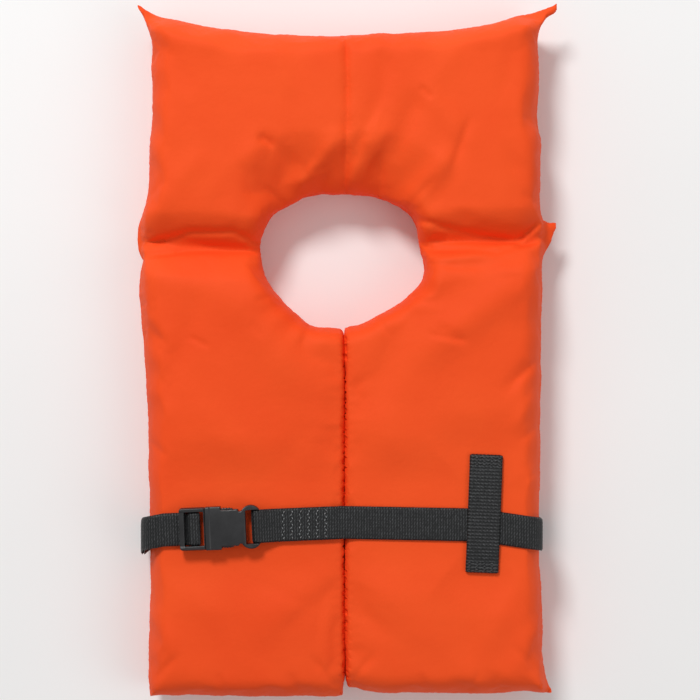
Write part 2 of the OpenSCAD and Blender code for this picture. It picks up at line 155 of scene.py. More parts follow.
def sewn(points):
    """An edge of the cover: a smooth curve that wanders a little between its ends."""
    p = smooth(np.array(points, float) * GROWTH, STEP)
    along = np.arange(len(p)) * STEP + p[0, 1]
    across = np.gradient(p, axis=0)[:, ::-1] * (1, -1)
    across /= np.linalg.norm(across, axis=1)[:, None]
    wander = np.sin(along / 5.1 + 2 * np.sin(along / 37)) + 0.8 * np.sin(along / 9.7 + 1)
    ends = np.clip(np.minimum(np.arange(len(p)), np.arange(len(p))[::-1]) / 4, 0, 1)
    return p + across * (WAVER * wander * ends)[:, None]


OUTER = [sewn(e) for e in (EDGE_LEFT, TOP_LEFT, TOP_RIGHT, EDGE_RIGHT_UP, EDGE_RIGHT_LOW, HEM_RIGHT)]
HEM = sewn(HEM_LEFT)
NECK = [sewn(NECK_RIGHT), sewn(NECK_LEFT)]
SLIT = [smooth(np.array(e) * GROWTH, STEP) for e in (SLIT_RIGHT, SLIT_LEFT)]
COLLAR_SEAM = smooth(np.array(SEAM) * GROWTH, STEP)
LONGEST = 5.5      # edges longer than this are split, which fills the steep walls
RIM_Z = FOLD_Z     # the covers meet half way up
ROUND_SIDE, ROUND_NECK, ROUND_SLIT, ROUND_BACK = 19.0, 15.0, 3.2, 17.0
NECK_SLOPE = 33.0  # how much further the collar's front slopes down to the neck
SLIT_BULGE = 1.3   # how far each panel bulges towards the other at the slit
CROWN = 1.6        # how far the front swells past the CAD's flat top, away from the belt
LEFT, RIGHT = 0, 1
NECK_MIDDLE = 68.0
NEAR_RIM = 0.05    # points nearer than this to the outline are on the sewn rim
GRID_X, GRID_Y = 170, 272   # half the area that the pattern's grid covers
GRID_CLEAR = 0.55           # the grid stays this many steps from the seams


def pattern():
    """The flat pattern, triangulated: its points and triangles, and the outline."""
    runs = OUTER + [SLIT[0]] + NECK + [SLIT[1], HEM]
    rim = np.vstack([run[:-1] for run in runs])
    seam = COLLAR_SEAM[1:-1]
    xs = np.arange(-GRID_X, GRID_X + 1, STEP)
    ys = np.arange(-GRID_Y, GRID_Y + 1, STEP * math.sqrt(3) / 2)
    grid = np.array([(x + (STEP / 2 if j % 2 else 0), y) for j, y in enumerate(ys) for x in xs])
    closed = np.vstack([rim, rim[:1]])
    clear = np.minimum(to_line(grid, closed), to_line(grid, COLLAR_SEAM))
    grid = grid[clear > GRID_CLEAR * STEP]
    n, m = len(rim), len(seam)
    top, foot = (int(np.argmin(np.linalg.norm(rim - end, axis=1))) for end in COLLAR_SEAM[[0, -1]])
    seam_ids = [top] + list(range(n, n + m)) + [foot]
    points = [Vector(p) for p in np.vstack([rim, seam, grid])]
    found = delaunay_2d_cdt(points, list(zip(seam_ids, seam_ids[1:])), [list(range(n))], 1, 1e-4)
    p = np.array([tuple(v) for v in found[0]])
    faces = np.array([list(f) for f in found[2]])
    used, where = np.unique(faces, return_inverse=True)
    return p[used], where.reshape(faces.shape), closed


def split_long(p, faces, height):
    """Splits every edge that is long once the cloth has its height. Gives the heights too."""
    z = height(p)
    for _ in range(4):
        q = np.column_stack([p, z])
        edges = np.sort(np.vstack([faces[:, [0, 1]], faces[:, [1, 2]], faces[:, [2, 0]]]), axis=1)
        edges, index = np.unique(edges, axis=0, return_inverse=True)
        index = index.reshape(3, -1).T
        long = np.linalg.norm(q[edges[:, 0]] - q[edges[:, 1]], axis=1) > LONGEST
        if not long.any():
            break
        middle = np.full(len(edges), -1)
        middle[long] = len(p) + np.arange(long.sum())
        added = p[edges[long]].mean(axis=1)
        p, z = np.vstack([p, added]), np.concatenate([z, height(added)])
        made = []
        for (a, b, c), (ab, bc, ca) in zip(faces.tolist(), middle[index].tolist()):
            cut = (ab >= 0) + (bc >= 0) + (ca >= 0)
            while cut and cut < 3 and not (ab >= 0 and (cut == 1 or bc >= 0)):
                a, b, c, ab, bc, ca = b, c, a, bc, ca, ab
            if cut == 0:
                made.append((a, b, c))
            elif cut == 1:
                made += [(a, ab, c), (ab, b, c)]
            elif cut == 2:
                made += [(a, ab, c), (ab, bc, c), (ab, b, bc)]
            else:
                made += [(a, ab, ca), (ab, b, bc), (ca, bc, c), (ab, bc, ca)]
        faces = np.array(made)
    return p, faces, z


def dome(distance, radius, power=2.3):
    """0 at an edge, 1 from radius in, rounded like a stuffed cover."""
    d = np.clip(distance / radius, 0, 1)
    return (1 - (1 - d) ** power) ** (1 / power)


FADE = 0.25        # a fold fades over this share of its length either side of each end


def bump(points, a, b, width, height):
    """A ridge, or a crease if height is negative, from a to b. It fades out past both ends."""
    a, b = np.array(a, float), np.array(b, float)
    d = b - a
    t = ((points - a) @ d) / (d @ d)
    off = np.abs((points - a) @ np.array([-d[1], d[0]])) / np.linalg.norm(d)
    ends = ease((t + FADE) / (2 * FADE)) * ease((1 + FADE - t) / (2 * FADE))
    return height * np.exp(-(off / width) ** 2) * ends


# (from, to, width, height): where the nylon pulls into ridges and creases on the front.
COLLAR_FOLDS = [
    ((-4, 164), (-34, 122), 9, 4.5), ((30, 168), (2, 120), 7, 4.0), ((82, 150), (48, 110), 9, 3.5),
    ((-14, 136), (-20, 118), 5, -2.5), ((24, 150), (26, 116), 7, -3.5), ((58, 196), (40, 150), 9, -2.5),
    ((-64, 164), (-52, 158), 4, -2.0), ((-66, 162), (-84, 104), 9, 2.2), ((-40, 152), (-50, 112), 8, -3.0),
    ((60, 203), (96, 160), 9, 2.0), ((96, 176), (84, 128), 5, -1.5), ((36, 232), (24, 176), 8, -1.4),
    ((-146, 246), (-96, 232), 9, 1.6), ((150, 250), (96, 240), 9, 1.8), ((-136, 240), (-118, 200), 8, -1.2),
    ((134, 240), (124, 196), 8, -1.2), ((128, 150), (146, 108), 7, -2.0),
    ((-110, 150), (-142, 112), 9, 1.4), ((-56, 238), (-40, 196), 9, 1.1), ((88, 232), (70, 206), 8, 1.0),
    ((100, 104), (140, 98), 6, 1.8),
]
PANEL_FOLDS = [
    ((146, 60), (66, -2), 13, 4.0), ((60, 44), (22, -34), 13, -3.0), ((74, 16), (94, 7), 3.5, -1.8),
    ((-88, 50), (-34, -26), 17, 3.0), ((-56, 30), (-14, -14), 11, -2.2), ((-112, 40), (-128, -18), 9, -1.2),
    ((-70, 20), (-62, 10), 3, -1.0), ((60, 74), (112, 62), 6, -2.2), ((70, 66), (150, 84), 5, 2.4),
    ((148, -10), (126, -32), 5, -1.8), ((150, -34), (132, -62), 5, 1.8), ((150, -96), (128, -112), 4, 1.8),
    ((30, -48), (44, -92), 15, 1.8), ((-116, -40), (-60, -104), 14, 1.6),
    ((-30, -60), (-50, -104), 10, -1.2), ((16, -166), (70, -226), 16, 1.8),
    ((-22, -168), (-66, -218), 16, 1.8), ((-120, -164), (-96, -214), 10, 1.3),
    ((-138, -214), (-118, -256), 8, 1.4), ((134, -172), (112, -226), 9, 1.6),
    ((84, -180), (96, -236), 10, -1.2), ((-60, -180), (-24, -196), 5, -0.9),
    ((150, -214), (128, -250), 7, 1.4), ((-12, -196), (-14, -250), 6, 1.2),
]
# Lines along which the nylon folds in the shoulder valley.
VALLEY_CREASES = [
    [(-151, 83), (-118, 92), (-86, 92), (-58, 80)], [(-152, 74), (-104, 77), (-57, 77)],
    [(58, 101), (84, 94), (134, 85), (152, 98)], [(60, 79), (92, 76.5), (120, 75.5), (149, 84)],
]
FOLD_LOW, FOLD_HIGH = 27.0, 24.0      # how far the shoulder valley reaches down and up
VALLEY = 0.62                         # and how much of the height it takes
NECK_DROP = 0.74                      # how far the collar's front slopes down at the neck
SLIT_DROP, SLIT_DROP_REACH = 0.10, 14 # each panel falls off a little towards the slit
LIP = 2.6                             # the swelling just below the right end of the valley
LIP_X, LIP_Y = 96, 67
LIP_LENGTH, LIP_WIDTH = 62, 6


def valley_share(x, y):
    """1 along the shoulder crease, falling to 0 where the foam of each part begins."""
    middle = FOLD_Y + 1 + 2.5 * np.sin(x / 34) + 0.1 * np.clip(x - 60, 0, None)
    t = np.where(y < middle, (middle - y) / FOLD_LOW, (y - middle) / FOLD_HIGH)
    return np.clip(1 - t, 0, 1) ** 1.35


def creased(p, width, height):
    """The valley's creases, piece by piece."""
    z = np.zeros(len(p))
    for line in VALLEY_CREASES:
        for a, b in zip(line, line[1:]):
            z += bump(p, a, b, width, height)
    return z


def front_height(p, d):
    """The front cover's height over each point of the pattern, in mm."""
    x, y = p[:, 0], p[:, 1]
    full = DECK - RIM_Z + CROWN
    around = np.arctan2(y - NECK_MIDDLE, x)
    up = np.clip(np.sin(around), 0, 1) ** 1.3 * ease((y - FOLD_Y - 12) / 30)
    slope = np.clip(d["neck"] / (ROUND_NECK + NECK_SLOPE), 0, 1)
    slope = 1 - NECK_DROP * (1 - slope) ** 1.3 * up
    shape = dome(d["edge"], ROUND_SIDE) * dome(d["neck"], ROUND_NECK) * dome(d["slit"], ROUND_SLIT)
    lap = 1 - SLIT_DROP * np.exp(-d["slit"] / SLIT_DROP_REACH)
    z = full * shape * slope * lap * (1 - VALLEY * valley_share(x, y))
    lip = np.exp(-((x - LIP_X - 0.4 * (y - FOLD_Y)) / LIP_LENGTH) ** 2)
    lip = lip * np.exp(-((y - LIP_Y - 0.16 * (x - 60)) / LIP_WIDTH) ** 2)
    z += LIP * lip * shape
    for a, b, width, height in COLLAR_FOLDS + PANEL_FOLDS:
        z += bump(p, a, b, width, height) * shape
    return z + creased(p, 2.8, -2.4) * shape


def back_height(p, d):
    """The back cover's depth below the rim, in mm."""
    shape = dome(d["edge"], ROUND_BACK) * dome(d["neck"], ROUND_BACK) * dome(d["slit"], ROUND_SLIT)
    valley = np.exp(-((p[:, 1] - FOLD_Y) / 9) ** 2)
    return (RIM_Z - 0.4) * shape * (1 - 0.5 * valley)


NECK_GATHER, SIDE_GATHER, SEAM_GATHER = 2.0, 1.3, 0.5     # heights of the puckers at each seam
BACK_GATHER = 0.5      # the back's puckers, as a share of the front's
SEAM_GROOVE = 2.2      # depth of the groove along the collar's seam
EAR_THINNING = 0.88    # how much of its height the cloth loses out in the ears


def gathers(p, d):
    """Small puckers that the seams pull into the cloth beside them."""
    x, y = p[:, 0], p[:, 1]
    turn = np.arctan2(y - NECK_MIDDLE, x)
    neck = np.sin(17 * turn + 2 * np.sin(3 * turn)) * np.exp(-d["neck"] / 15)
    neck = neck * (1 - np.exp(-d["neck"] / 3)) * (0.55 + 0.45 * np.sin(2 * turn + 1))
    run = x + y
    side = np.sin(run / 6.5 + 1.7 * np.sin(run / 23)) * np.exp(-d["edge"] / 12)
    side = side * (1 - np.exp(-d["edge"] / 3)) * (0.6 + 0.4 * np.sin(run / 31))
    seam = np.sin(y / 4.1 + np.sin(y / 13)) * np.exp(-d["seam"] / 7)
    return NECK_GATHER * neck + SIDE_GATHER * side + SEAM_GATHER * seam


def distances(p):
    """How far each point is from the outer edge, the neck, the slit and the collar's seam."""
    return {
        "edge": to_line(p, np.vstack([HEM] + OUTER)),
        "neck": to_line(p, np.vstack(NECK)),
        "slit": np.minimum(to_line(p, SLIT[0]), to_line(p, SLIT[1])),
        "seam": to_line(p, COLLAR_SEAM),
    }


def rim_height(p):
    """The rim lies half way up, and rises a little out to the corner tips."""
    x, y = np.abs(p[:, 0]), np.abs(p[:, 1])
    return RIM_Z + 7 * ease((x - 146) / 16) * ease((y - 236) / 28)


def flap(p):
    """1 out in the corner tips and the shoulder's ear, where two layers of cloth hold no foam."""
    x, y = np.abs(p[:, 0]), p[:, 1]
    tip = ease((y - 246) / 18) * ease((x - 122) / 30)
    return np.maximum(tip, ease((x - 152) / 9))


def cloth_height(p, front):
    d = distances(p)
    base = front_height(p, d) if front else back_height(p, d)
    seam = np.exp(-(d["seam"] / 2.4) ** 2)
    full = base + gathers(p, d) * (1 if front else BACK_GATHER) - SEAM_GROOVE * seam
    return np.maximum(full * (1 - EAR_THINNING * flap(p)), 0)


def bulged(p, rise):
    """Pushes the walls beside the slit out, so that the two panels meet."""
    near = np.minimum(to_line(p, SLIT[0]), to_line(p, SLIT[1]))
    part_way = np.clip(rise / (DECK - RIM_Z), 0, 1)
    push = SLIT_BULGE * np.sin(part_way * math.pi * 0.7) * np.exp(-(near / 5) ** 2)
    return np.column_stack([p[:, 0] + np.where(side_of(p) == RIGHT, -push, push), p[:, 1]])


def side_of(middle):
    """RIGHT or LEFT of the collar's seam or, lower down, of the slit."""
    seam_x = np.interp(middle[:, 1], COLLAR_SEAM[::-1, 1], COLLAR_SEAM[::-1, 0])
    return np.where(middle[:, 0] > np.where(middle[:, 1] > 100, seam_x, 1.0), RIGHT, LEFT)


def join_rims(mesh):
    bm = bmesh.new()
    bm.from_mesh(mesh)
    bmesh.ops.remove_doubles(bm, verts=bm.verts, dist=1e-6)
    bm.to_mesh(mesh)
    bm.free()
    mesh.update()


def cover_mesh():
    """The whole jacket's skin: front and back cloths joined at the rim. Faces know their part."""
    flat, flat_faces, closed = pattern()
    points, all_faces, parts = [], [], []
    count = 0
    for front in (True, False):
        def height(p):
            return cloth_height(p, front)
        p, faces, z = split_long(flat, flat_faces, height)
        rim = to_line(p, closed) < NEAR_RIM
        rise = np.where(rim, 0, np.maximum(z, 0.5))
        z = rim_height(p) + (rise if front else -rise)
        points.append(np.column_stack([bulged(p, rise), z]))
        all_faces.append((faces if front else faces[:, ::-1]) + count)
        parts.append(side_of(p[faces].mean(axis=1)) + (0 if front else 2))
        count += len(p)
    mesh = bpy.data.meshes.new("jacket_skin")
    mesh.from_pydata((np.vstack(points) * MM).tolist(), [], np.vstack(all_faces).tolist())
    for name in COVER_PARTS:
        mesh.materials.append(bpy.data.materials.new("part_" + name))
    mesh.polygons.foreach_set("material_index", np.concatenate(parts).astype(np.int32))
    join_rims(mesh)
    held = to_line(coords(mesh)[:, :2] / MM, closed) < NEAR_RIM
    return mesh, held


COVER_PARTS = ["front_left", "front_right", "back_left", "back_right"]


# ---------------------------------------------------------------- cloth


def coords(mesh):
    co = np.empty(len(mesh.vertices) * 3, np.float32)
    mesh.vertices.foreach_get("co", co)
    return co.reshape(-1, 3).astype(float)


def set_coords(mesh, co):
    mesh.vertices.foreach_set("co", np.asarray(co, np.float32).ravel())
    mesh.update()


def link(name, mesh):
    obj = bpy.data.objects.new(name, mesh)
    bpy.context.scene.collection.objects.link(obj)
    return obj


SIM_FRAMES = 20
MOST_TRAVEL = 2.4  # how far the pressure may move a point


def puff(mesh, held):
    """Lets the cloth swell under pressure, with its rim held, and keeps the result in the mesh."""
    obj = link("jacket_cloth", mesh)
    pins = obj.vertex_groups.new(name="rim")
    pins.add([int(i) for i in np.flatnonzero(held)], 1.0, "REPLACE")
    cloth = obj.modifiers.new("Cloth", "CLOTH")
    s = cloth.settings
    s.quality = 5
    s.mass = 0.25
    s.tension_stiffness = s.compression_stiffness = 18
    s.shear_stiffness = 8
    s.bending_stiffness = 0.6
    s.air_damping = 3
    s.use_pressure = True
    s.uniform_pressure_force = 4
    s.shrink_min = -0.012
    s.vertex_group_mass = "rim"
    s.effector_weights.gravity = 0
    cloth.collision_settings.use_collision = False
    scene = bpy.context.scene
    for f in range(1, SIM_FRAMES + 1):
        scene.frame_set(f)
    before = coords(mesh)
    swollen = obj.evaluated_get(bpy.context.evaluated_depsgraph_get())
    after = coords(swollen.data)
    scene.frame_set(1)
    move = after - before
    far = np.linalg.norm(move, axis=1)
    cap = MOST_TRAVEL * MM
    move *= (cap * np.tanh(far / cap) / np.maximum(far, 1e-9))[:, None]
    bpy.data.objects.remove(obj)
    set_coords(mesh, before + move)


PINCH = 1.7        # how far the sewn rim draws in between the two bulging covers


def pinch(mesh, held):
    """Draws the rim seam into a shallow groove."""
    co = coords(mesh)
    normals = np.empty(len(co) * 3, np.float32)
    mesh.vertices.foreach_get("normal", normals)
    depth = PINCH * MM * held * (1 - flap(co / MM))
    set_coords(mesh, co - normals.reshape(-1, 3) * depth[:, None])


# (from, to, width, height): thin creases, and small ridges, that show in the taut nylon.
FINE_CREASES = [
    ((156, 96), (130, 79), 3.6, 2.0), ((-52, -112), (-40, -102), 3.5, -1.3),
    ((-28, -108), (-12, -111), 3, -1.2), ((58, -112), (74, -104), 3, -1.1),
    ((112, -98), (130, -110), 3, -1.3), ((38, -153), (64, -150), 3.6, -1.4),
    ((-60, -157), (-38, -152), 3.6, -1.3), ((66, 67), (88, 65), 2.6, -1.4),
    ((-64, 164), (-54, 157), 2.6, -1.4), ((60, 202), (68, 194), 2.6, -1.2), ((96, 174), (84, 140), 3, -1.0),
    ((28, 182), (4, 128), 4, 1.3), ((-8, 158), (-36, 124), 4, 1.3), ((-44, 112), (-62, 126), 3, -1.4),
    ((-24, 119), (-30, 140), 3, -1.3), ((28, 117), (30, 142), 3, -1.4), ((47, 108), (68, 130), 3, -1.3),
    ((68, 12), (92, 7), 2.4, -1.1), ((150, -8), (132, -24), 2.6, -1.2), ((152, -58), (136, -70), 2.8, -1.2),
    ((152, -94), (138, -101), 2.6, -1.2), ((-152, 20), (-138, 6), 2.8, -1.1),
    ((-150, -70), (-136, -82), 2.8, -1.1), ((-118, 10), (-104, 3), 2.4, -0.8),
    ((152, -250), (134, -230), 3, -1.2), ((-146, -254), (-128, -236), 3, -1.2),
    ((6, -256), (22, -236), 3, -1.2), ((-6, -260), (-22, -238), 3, -1.2), ((-60, 60), (-74, 66), 2.6, -1.1),
    ((-50, 44), (-66, 38), 2.6, -1.0), ((50, 42), (66, 36), 2.6, -1.0), ((26, 26), (34, 12), 2.6, -1.0),
    ((-26, 20), (-32, 4), 2.6, -1.0), ((-140, 236), (-152, 252), 3, 1.6), ((146, 238), (156, 256), 3, 1.6),
    ((-138, 130), (-150, 118), 2.6, -1.1), ((140, 180), (151, 172), 2.6, -1.1),
    ((140, 120), (152, 112), 2.6, -1.1), ((-40, -250), (-34, -264), 2.8, -0.9),
    ((-96, -250), (-90, -266), 2.8, -0.9), ((60, -250), (66, -264), 2.8, -0.9),
    ((104, -248), (98, -264), 2.8, -0.9),
]


def crease(mesh):
    co = coords(mesh) / MM
    lift = np.zeros(len(co))
    for a, b, width, height in FINE_CREASES:
        lift += bump(co[:, :2], a, b, width, height)
    lift += creased(co[:, :2], 2.4, -1.4)
    co[:, 2] += np.where(co[:, 2] > RIM_Z + 4, lift, 0)
    set_coords(mesh, co * MM)


def subdivided(mesh):
    obj = link("jacket_fine", mesh)
    obj.modifiers.new("Subdivision", "SUBSURF").levels = 1
    bpy.context.view_layer.update()
    fine = bpy.data.meshes.new_from_object(obj.evaluated_get(bpy.context.evaluated_depsgraph_get()))
    bpy.data.objects.remove(obj)
    return fine


RIDE_LOW, RIDE_HIGH = (v / MM for v in JOINTS["belt_ride"]["range_m"])
RIDE_MIDDLE = (RIDE_LOW + RIDE_HIGH) / 2
RIDE_HALF = (RIDE_HIGH - RIDE_LOW) / 2 + 0.5


def inside(u, half, soft):
    """1 within half of the middle, falling to 0 over soft beyond it."""
    return ease(1 - (np.abs(u) - half) / soft)


SLIT_GAP = 0.12    # how far each panel's edge stays from the middle of the slit
SLIT_WALL = 1.2    # the cloth nearer than this stands flat against the other panel
SLIT_REACH = 4.0   # and the cloth nearer than this is drawn in


def slit_x(line, y):
    line = line[np.argsort(line[:, 1])]
    return np.interp(y, line[:, 1], line[:, 0])


def meeting(mesh, x, y):
    """Flattens the two panels against each other along the slit. Below the neck they share no point."""
    right_faces = [f for f in mesh.polygons if COVER_PARTS[f.material_index].endswith("right")]
    side = np.full(len(x), -1.0)
    side[[v for f in right_faces for v in f.vertices]] = 1.0
    middle = (slit_x(SLIT[0], y) + slit_x(SLIT[1], y)) / 2
    away = (x - middle) * side
    part_way = (np.clip(away, SLIT_WALL, SLIT_REACH) - SLIT_WALL) / (SLIT_REACH - SLIT_WALL)
    drawn = SLIT_REACH * part_way ** 1.6
    drawn = np.where(away < SLIT_REACH, np.maximum(drawn, SLIT_GAP), away)
    share = ease((SLIT[0][0, 1] - y) / 9)
    return np.where(share > 0, middle + side * (away + (drawn - away) * share), x)


BELT_SOFT, KEEPER_SOFT, BUCKLE_SOFT = 42, 36, 40       # how far beyond each the dent fades out
BUCKLE_DENT_X, BUCKLE_DENT_HALF, BUCKLE_DENT_WIDTH = 16, 50, 17
SIDE_ROOM = 14         # the sides may swell this much past the belt's line away from it
FLOOR_GAP = 0.35       # the back stays this far over the floor


def press_in(mesh):
    """Dents the soft covers under the belt, the keeper and the buckle, and flattens the back."""
    co = coords(mesh) / MM
    x, y, z = co.T
    line = np.vectorize(belt_y)(x)
    belt = inside(y - line - RIDE_MIDDLE, WEB_W / 2 + RIDE_HALF, BELT_SOFT)
    keeper_y = (KEEPER_LOW[1] + KEEPER_HIGH[1]) / 2
    keeper = inside(x - KEEPER_MIDDLE, WEB_W / 2 + 1, KEEPER_SOFT)
    keeper = keeper * inside(y - keeper_y, KEEPER_LEN / 2, KEEPER_SOFT)
    across = y - belt_y(BUCKLE_X) - RIDE_MIDDLE
    buckle = inside(x - BUCKLE_X - BUCKLE_DENT_X, BUCKLE_DENT_HALF, KEEPER_SOFT)
    buckle = buckle * inside(across, BUCKLE_DENT_WIDTH + RIDE_HALF, BUCKLE_SOFT)
    dent = np.maximum(np.maximum(belt, keeper), buckle)
    over = np.maximum(z - (DECK - 0.1), 0)
    z = np.where(z > RIM_Z, z - over * dent, z)
    beside = inside(y - REAR_Y - RIDE_MIDDLE - 2, WEB_W / 2 + RIDE_HALF + 4, 10)
    most_x = HALF_W + 0.1 + (1 - beside) * SIDE_ROOM
    x = np.clip(x, -most_x, most_x)
    rear = inside(y - REAR_Y - RIDE_MIDDLE, WEB_W / 2 + RIDE_HALF + 2.5, 7)
    z = np.maximum(z, FLOOR_GAP + rear * (GROOVE + 0.1))
    x = meeting(mesh, x, y)
    set_coords(mesh, np.column_stack([x, y, z]) * MM)


def part_of(mesh, index, name):
    """The faces of one part as an object of their own."""
    bm = bmesh.new()
    bm.from_mesh(mesh)
    bmesh.ops.delete(bm, geom=[f for f in bm.faces if f.material_index != index], context="FACES")
    for f in bm.faces:
        f.material_index = 0
        f.smooth = True
    part = bpy.data.meshes.new(name)
    bm.to_mesh(part)
    bm.free()
    part.materials.clear()
    return link(name, part)


def make_covers(nylon):
    mesh, held = cover_mesh()
    puff(mesh, held)
    pinch(mesh, held)
    fine = subdivided(mesh)
    crease(fine)
    press_in(fine)
    made = []
    for i, part in enumerate(COVER_PARTS):
        piece = part_of(fine, i, "cover_" + part)
        piece.data.materials.append(nylon)
        end, side = part.split("_")
        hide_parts(f"panel_cover_{end}_{side}", f"collar_cover_{end}_{side}")
        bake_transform(piece)
        made.append(piece)
    return made


# ---------------------------------------------------------------- webbing


def turn(cx, cz, r, start, stop, y0, y1, steps):
    """A quarter turn of route in the plane of X and Z."""
    return [(cx + r * math.cos(math.radians(a)), y0 + (y1 - y0) * t, cz + r * math.sin(math.radians(a)))
            for t, a in ((i / steps, start + (stop - start) * i / steps) for i in range(steps + 1))]


FRONT_R, REAR_R = 13, 4
SIDE_X = HALF_W + 0.6 + WEB_T / 2
REAR_Z = GROOVE - WEB_GAP - WEB_T / 2


def front_point(x, z):
    return (x, belt_y(x), z)


SIDE_SWELL, SIDE_DRIFT = 1.5, 8      # the belt stands off and drifts to the hem down the left side


def around_left(n, start_x, start_z, end_x):
    """The loop n layers out: from the left of the front, down the left side, and along the rear."""
    out = n * LAYER
    rt, rb, edge, top, foot = FRONT_R + out, REAR_R + out, SIDE_X + out, WEB_Z + out, REAR_Z - out
    y_top = belt_y(-HALF_W)
    return ([front_point(start_x, start_z), front_point(-edge + rt + 2, top)]
            + turn(-edge + rt, top - rt, rt, 90, 180, y_top, y_top - 4, 8)
            + [(-edge - SIDE_SWELL, y_top - SIDE_DRIFT, (top + foot) / 2)]
            + turn(-edge + rb, foot + rb, rb, 180, 270, REAR_Y - 1, REAR_Y, 6)
            + [(end_x, REAR_Y, foot)])


KEEPER_MIDDLE = (KEEPER_LOW[0] + KEEPER_HIGH[0]) / 2


def loop_route():
    x = BUCKLE_X
    return ([front_point(x - 16.2, WEB_DECK + 6.2), front_point(x - 16.6, WEB_DECK + 2.6),
             front_point(x - 18.4, WEB_Z)]
            + around_left(0, x - 21, WEB_Z, HALF_W - 6)
            + turn(SIDE_X - REAR_R, REAR_Z + REAR_R, REAR_R, 270, 360, REAR_Y, REAR_Y + 1, 6)
            + turn(SIDE_X - FRONT_R, WEB_Z - FRONT_R, FRONT_R, 0, 90, belt_y(HALF_W) - 1,
                   belt_y(SIDE_X - FRONT_R), 8)
            + [front_point(KEEPER_MIDDLE - 4, WEB_Z)])


TAIL_END, TAIL_BACK = HALF_W - 42, 170


def tail_route():
    x, top = BUCKLE_X, WEB_DECK + 7
    return ([front_point(x - 16.0, top + 0.2), front_point(x - 17.2, top + 0.9),
             front_point(x - 23.5, top + 0.9), front_point(x - 24.7, top - 1.1),
             front_point(x - 26.2, WEB_Z + LAYER + 0.5)]
            + around_left(1, x - 30, WEB_Z + LAYER, TAIL_END)
            + turn(TAIL_END, REAR_Z - 1.5 * LAYER, LAYER / 2, 90, -90, REAR_Y, REAR_Y, 6)
            + [(TAIL_END - TAIL_BACK, REAR_Y, REAR_Z - 2 * LAYER)])


SEWN_X = -8.0
BAR_U, BAR_W, BAR_R = 27.6, 5.0, 2.2


def front_route():
    x, z = BUCKLE_X + BAR_U, WEB_DECK + BAR_W
    r = BAR_R + 0.25 + WEB_T / 2
    y = belt_y(x)
    return ([front_point(SEWN_X, WEB_Z), front_point(x + 8, WEB_Z)]
            + turn(x, z, r, 290, 70, y, y, 12)
            + [front_point(x + 14, WEB_Z + LAYER + 0.6), front_point(x + 18, WEB_Z + LAYER),
               front_point(SEWN_X, WEB_Z + LAYER), front_point(SEWN_X + 7, WEB_Z),
               front_point(KEEPER_MIDDLE - 5, WEB_Z)])


def lean(x):
    """The webbing leans with the buckle near it, and lies square to X elsewhere."""
    return BUCKLE_TILT * inside(x - BUCKLE_X, 44, 22)


RIB, KEEPER_RIB = 2.1, 2.6      # pitch of the webbing's crosswise ribs
RIB_DEPTH = 0.24
COLUMNS = 19       # points across one face
YARN_SHIFT = 0.45  # how far neighbouring yarns are out of step, as a share of half a rib


def rounded(points, step):
    """A polyline with its points evenly step apart and its corners a little eased."""
    p = np.array(points, float)
    along = np.concatenate([[0], np.cumsum(np.linalg.norm(np.diff(p, axis=0), axis=1))])
    at = np.linspace(0, along[-1], round(along[-1] / step) + 1)
    line = np.stack([np.interp(at, along, p[:, k]) for k in range(3)], axis=1)
    window = np.ones(5) / 5
    padded = np.vstack([line[:1]] * 2 + [line] + [line[-1:]] * 2)
    line = np.stack([np.convolve(padded[:, k], window, "valid") for k in range(3)], axis=1)
    return line, at


def woven(line, along, side, rib):
    """The points round the webbing at each step of the line, and how high on a rib each one is."""
    tangent = np.gradient(line, axis=0)
    tangent /= np.linalg.norm(tangent, axis=1)[:, None]
    up = np.cross(tangent, side)
    up /= np.linalg.norm(up, axis=1)[:, None]
    v = np.linspace(-1, 1, COLUMNS)
    edge = (1 - np.abs(v) ** 9) ** 0.5
    phase = 2 * math.pi * along / rib
    rows, crests = [], []
    for face in (1, -1):
        inner = slice(None) if face > 0 else slice(-2, 0, -1)
        for k, (u, e) in enumerate(zip(v[inner], edge[inner])):
            yarn = math.pi * (k % 2) * YARN_SHIFT
            ripple = RIB_DEPTH * np.sin(phase + yarn)
            h = (WEB_T / 2 - RIB_DEPTH) * (0.3 + 0.7 * e) + ripple * (0.2 + 0.8 * e)
            frayed = 1 + 0.006 * np.sin(phase + 1)
            crests.append(0.5 + 0.5 * np.sin(phase + yarn))
            rows.append(line + side * (u * WEB_W / 2 * frayed)[:, None] + up * (face * h)[:, None])
    return np.stack(rows, axis=1), np.stack(crests, axis=1)


def ribbon(name, points, sides, rib):
    """Flat woven webbing along a route in mm, with crosswise ribs and firm edges.

    sides gives the direction of the width at each point.
    """
    line, along = rounded(points, rib / 4)
    rows, crests = woven(line, along, sides(line), rib)
    n, m = rows.shape[:2]
    a = np.arange(n - 1)[:, None] * m + np.arange(m)[None, :]
    b = np.arange(n - 1)[:, None] * m + (np.arange(m)[None, :] + 1) % m
    quads = np.stack([a, b, b + m, a + m], axis=-1).reshape(-1, 4)
    mesh = bpy.data.meshes.new(name)
    caps = [list(range(m))[::-1], [(n - 1) * m + i for i in range(m)]]
    mesh.from_pydata((rows.reshape(-1, 3) * MM).tolist(), [], quads.tolist() + caps)
    # Each point's height on its rib. The webbing's colour uses it to paint highlights on the crests and
    # shade in the grooves.
    crest = mesh.attributes.new("crest", "FLOAT", "POINT")
    crest.data.foreach_set("value", crests.ravel().astype(np.float32))
    mesh.update()
    bm = bmesh.new()
    bm.from_mesh(mesh)
    bmesh.ops.recalc_face_normals(bm, faces=bm.faces)
    bm.to_mesh(mesh)
    bm.free()
    for f in mesh.polygons:
        f.use_smooth = len(f.vertices) == 4
    return link(name, mesh)


def across_belt(line):
    angle = lean(line[:, 0])
    return np.stack([-np.sin(angle), np.cos(angle), np.zeros(len(line))], axis=1)


KEEPER_TILT = -BUCKLE_TILT + math.radians(0.2)
KEEPER_LEN, KEEPER_X, KEEPER_Y = 92.0, 108.5, -126.0


